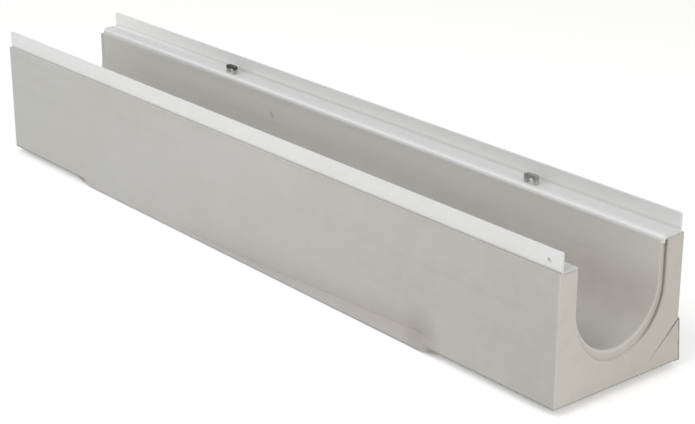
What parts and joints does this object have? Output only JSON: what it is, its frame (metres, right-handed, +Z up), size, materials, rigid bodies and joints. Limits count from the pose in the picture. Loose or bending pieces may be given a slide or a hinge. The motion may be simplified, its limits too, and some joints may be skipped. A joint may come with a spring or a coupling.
{
  "type": "channel drain",
  "caption": "Open concrete drainage channel with a round-bottomed trough, steel edge rails that seat a grating, and small lock keeps.",
  "frame": {"origin": "middle of the underside of the base plinth, half way along the one metre body and half way across it", "axes": "+X along the channel towards the socket end, +Y across it towards the far rail, +Z up"},
  "size_m": [1.003, 0.1755, 0.1645],
  "materials": {
    "concrete": "matte cast concrete",
    "zinc_steel": "galvanised, matte",
    "dark_steel": "dark, matte"
  },
  "bodies": {
    "root": {"channel_body": "concrete", "edge_rail_near": "zinc_steel", "edge_rail_far": "zinc_steel", "lock_keep_near_1": "dark_steel", "lock_keep_near_2": "dark_steel", "lock_keep_far_1": "dark_steel", "lock_keep_far_2": "dark_steel"}
  },
  "joints": []
}
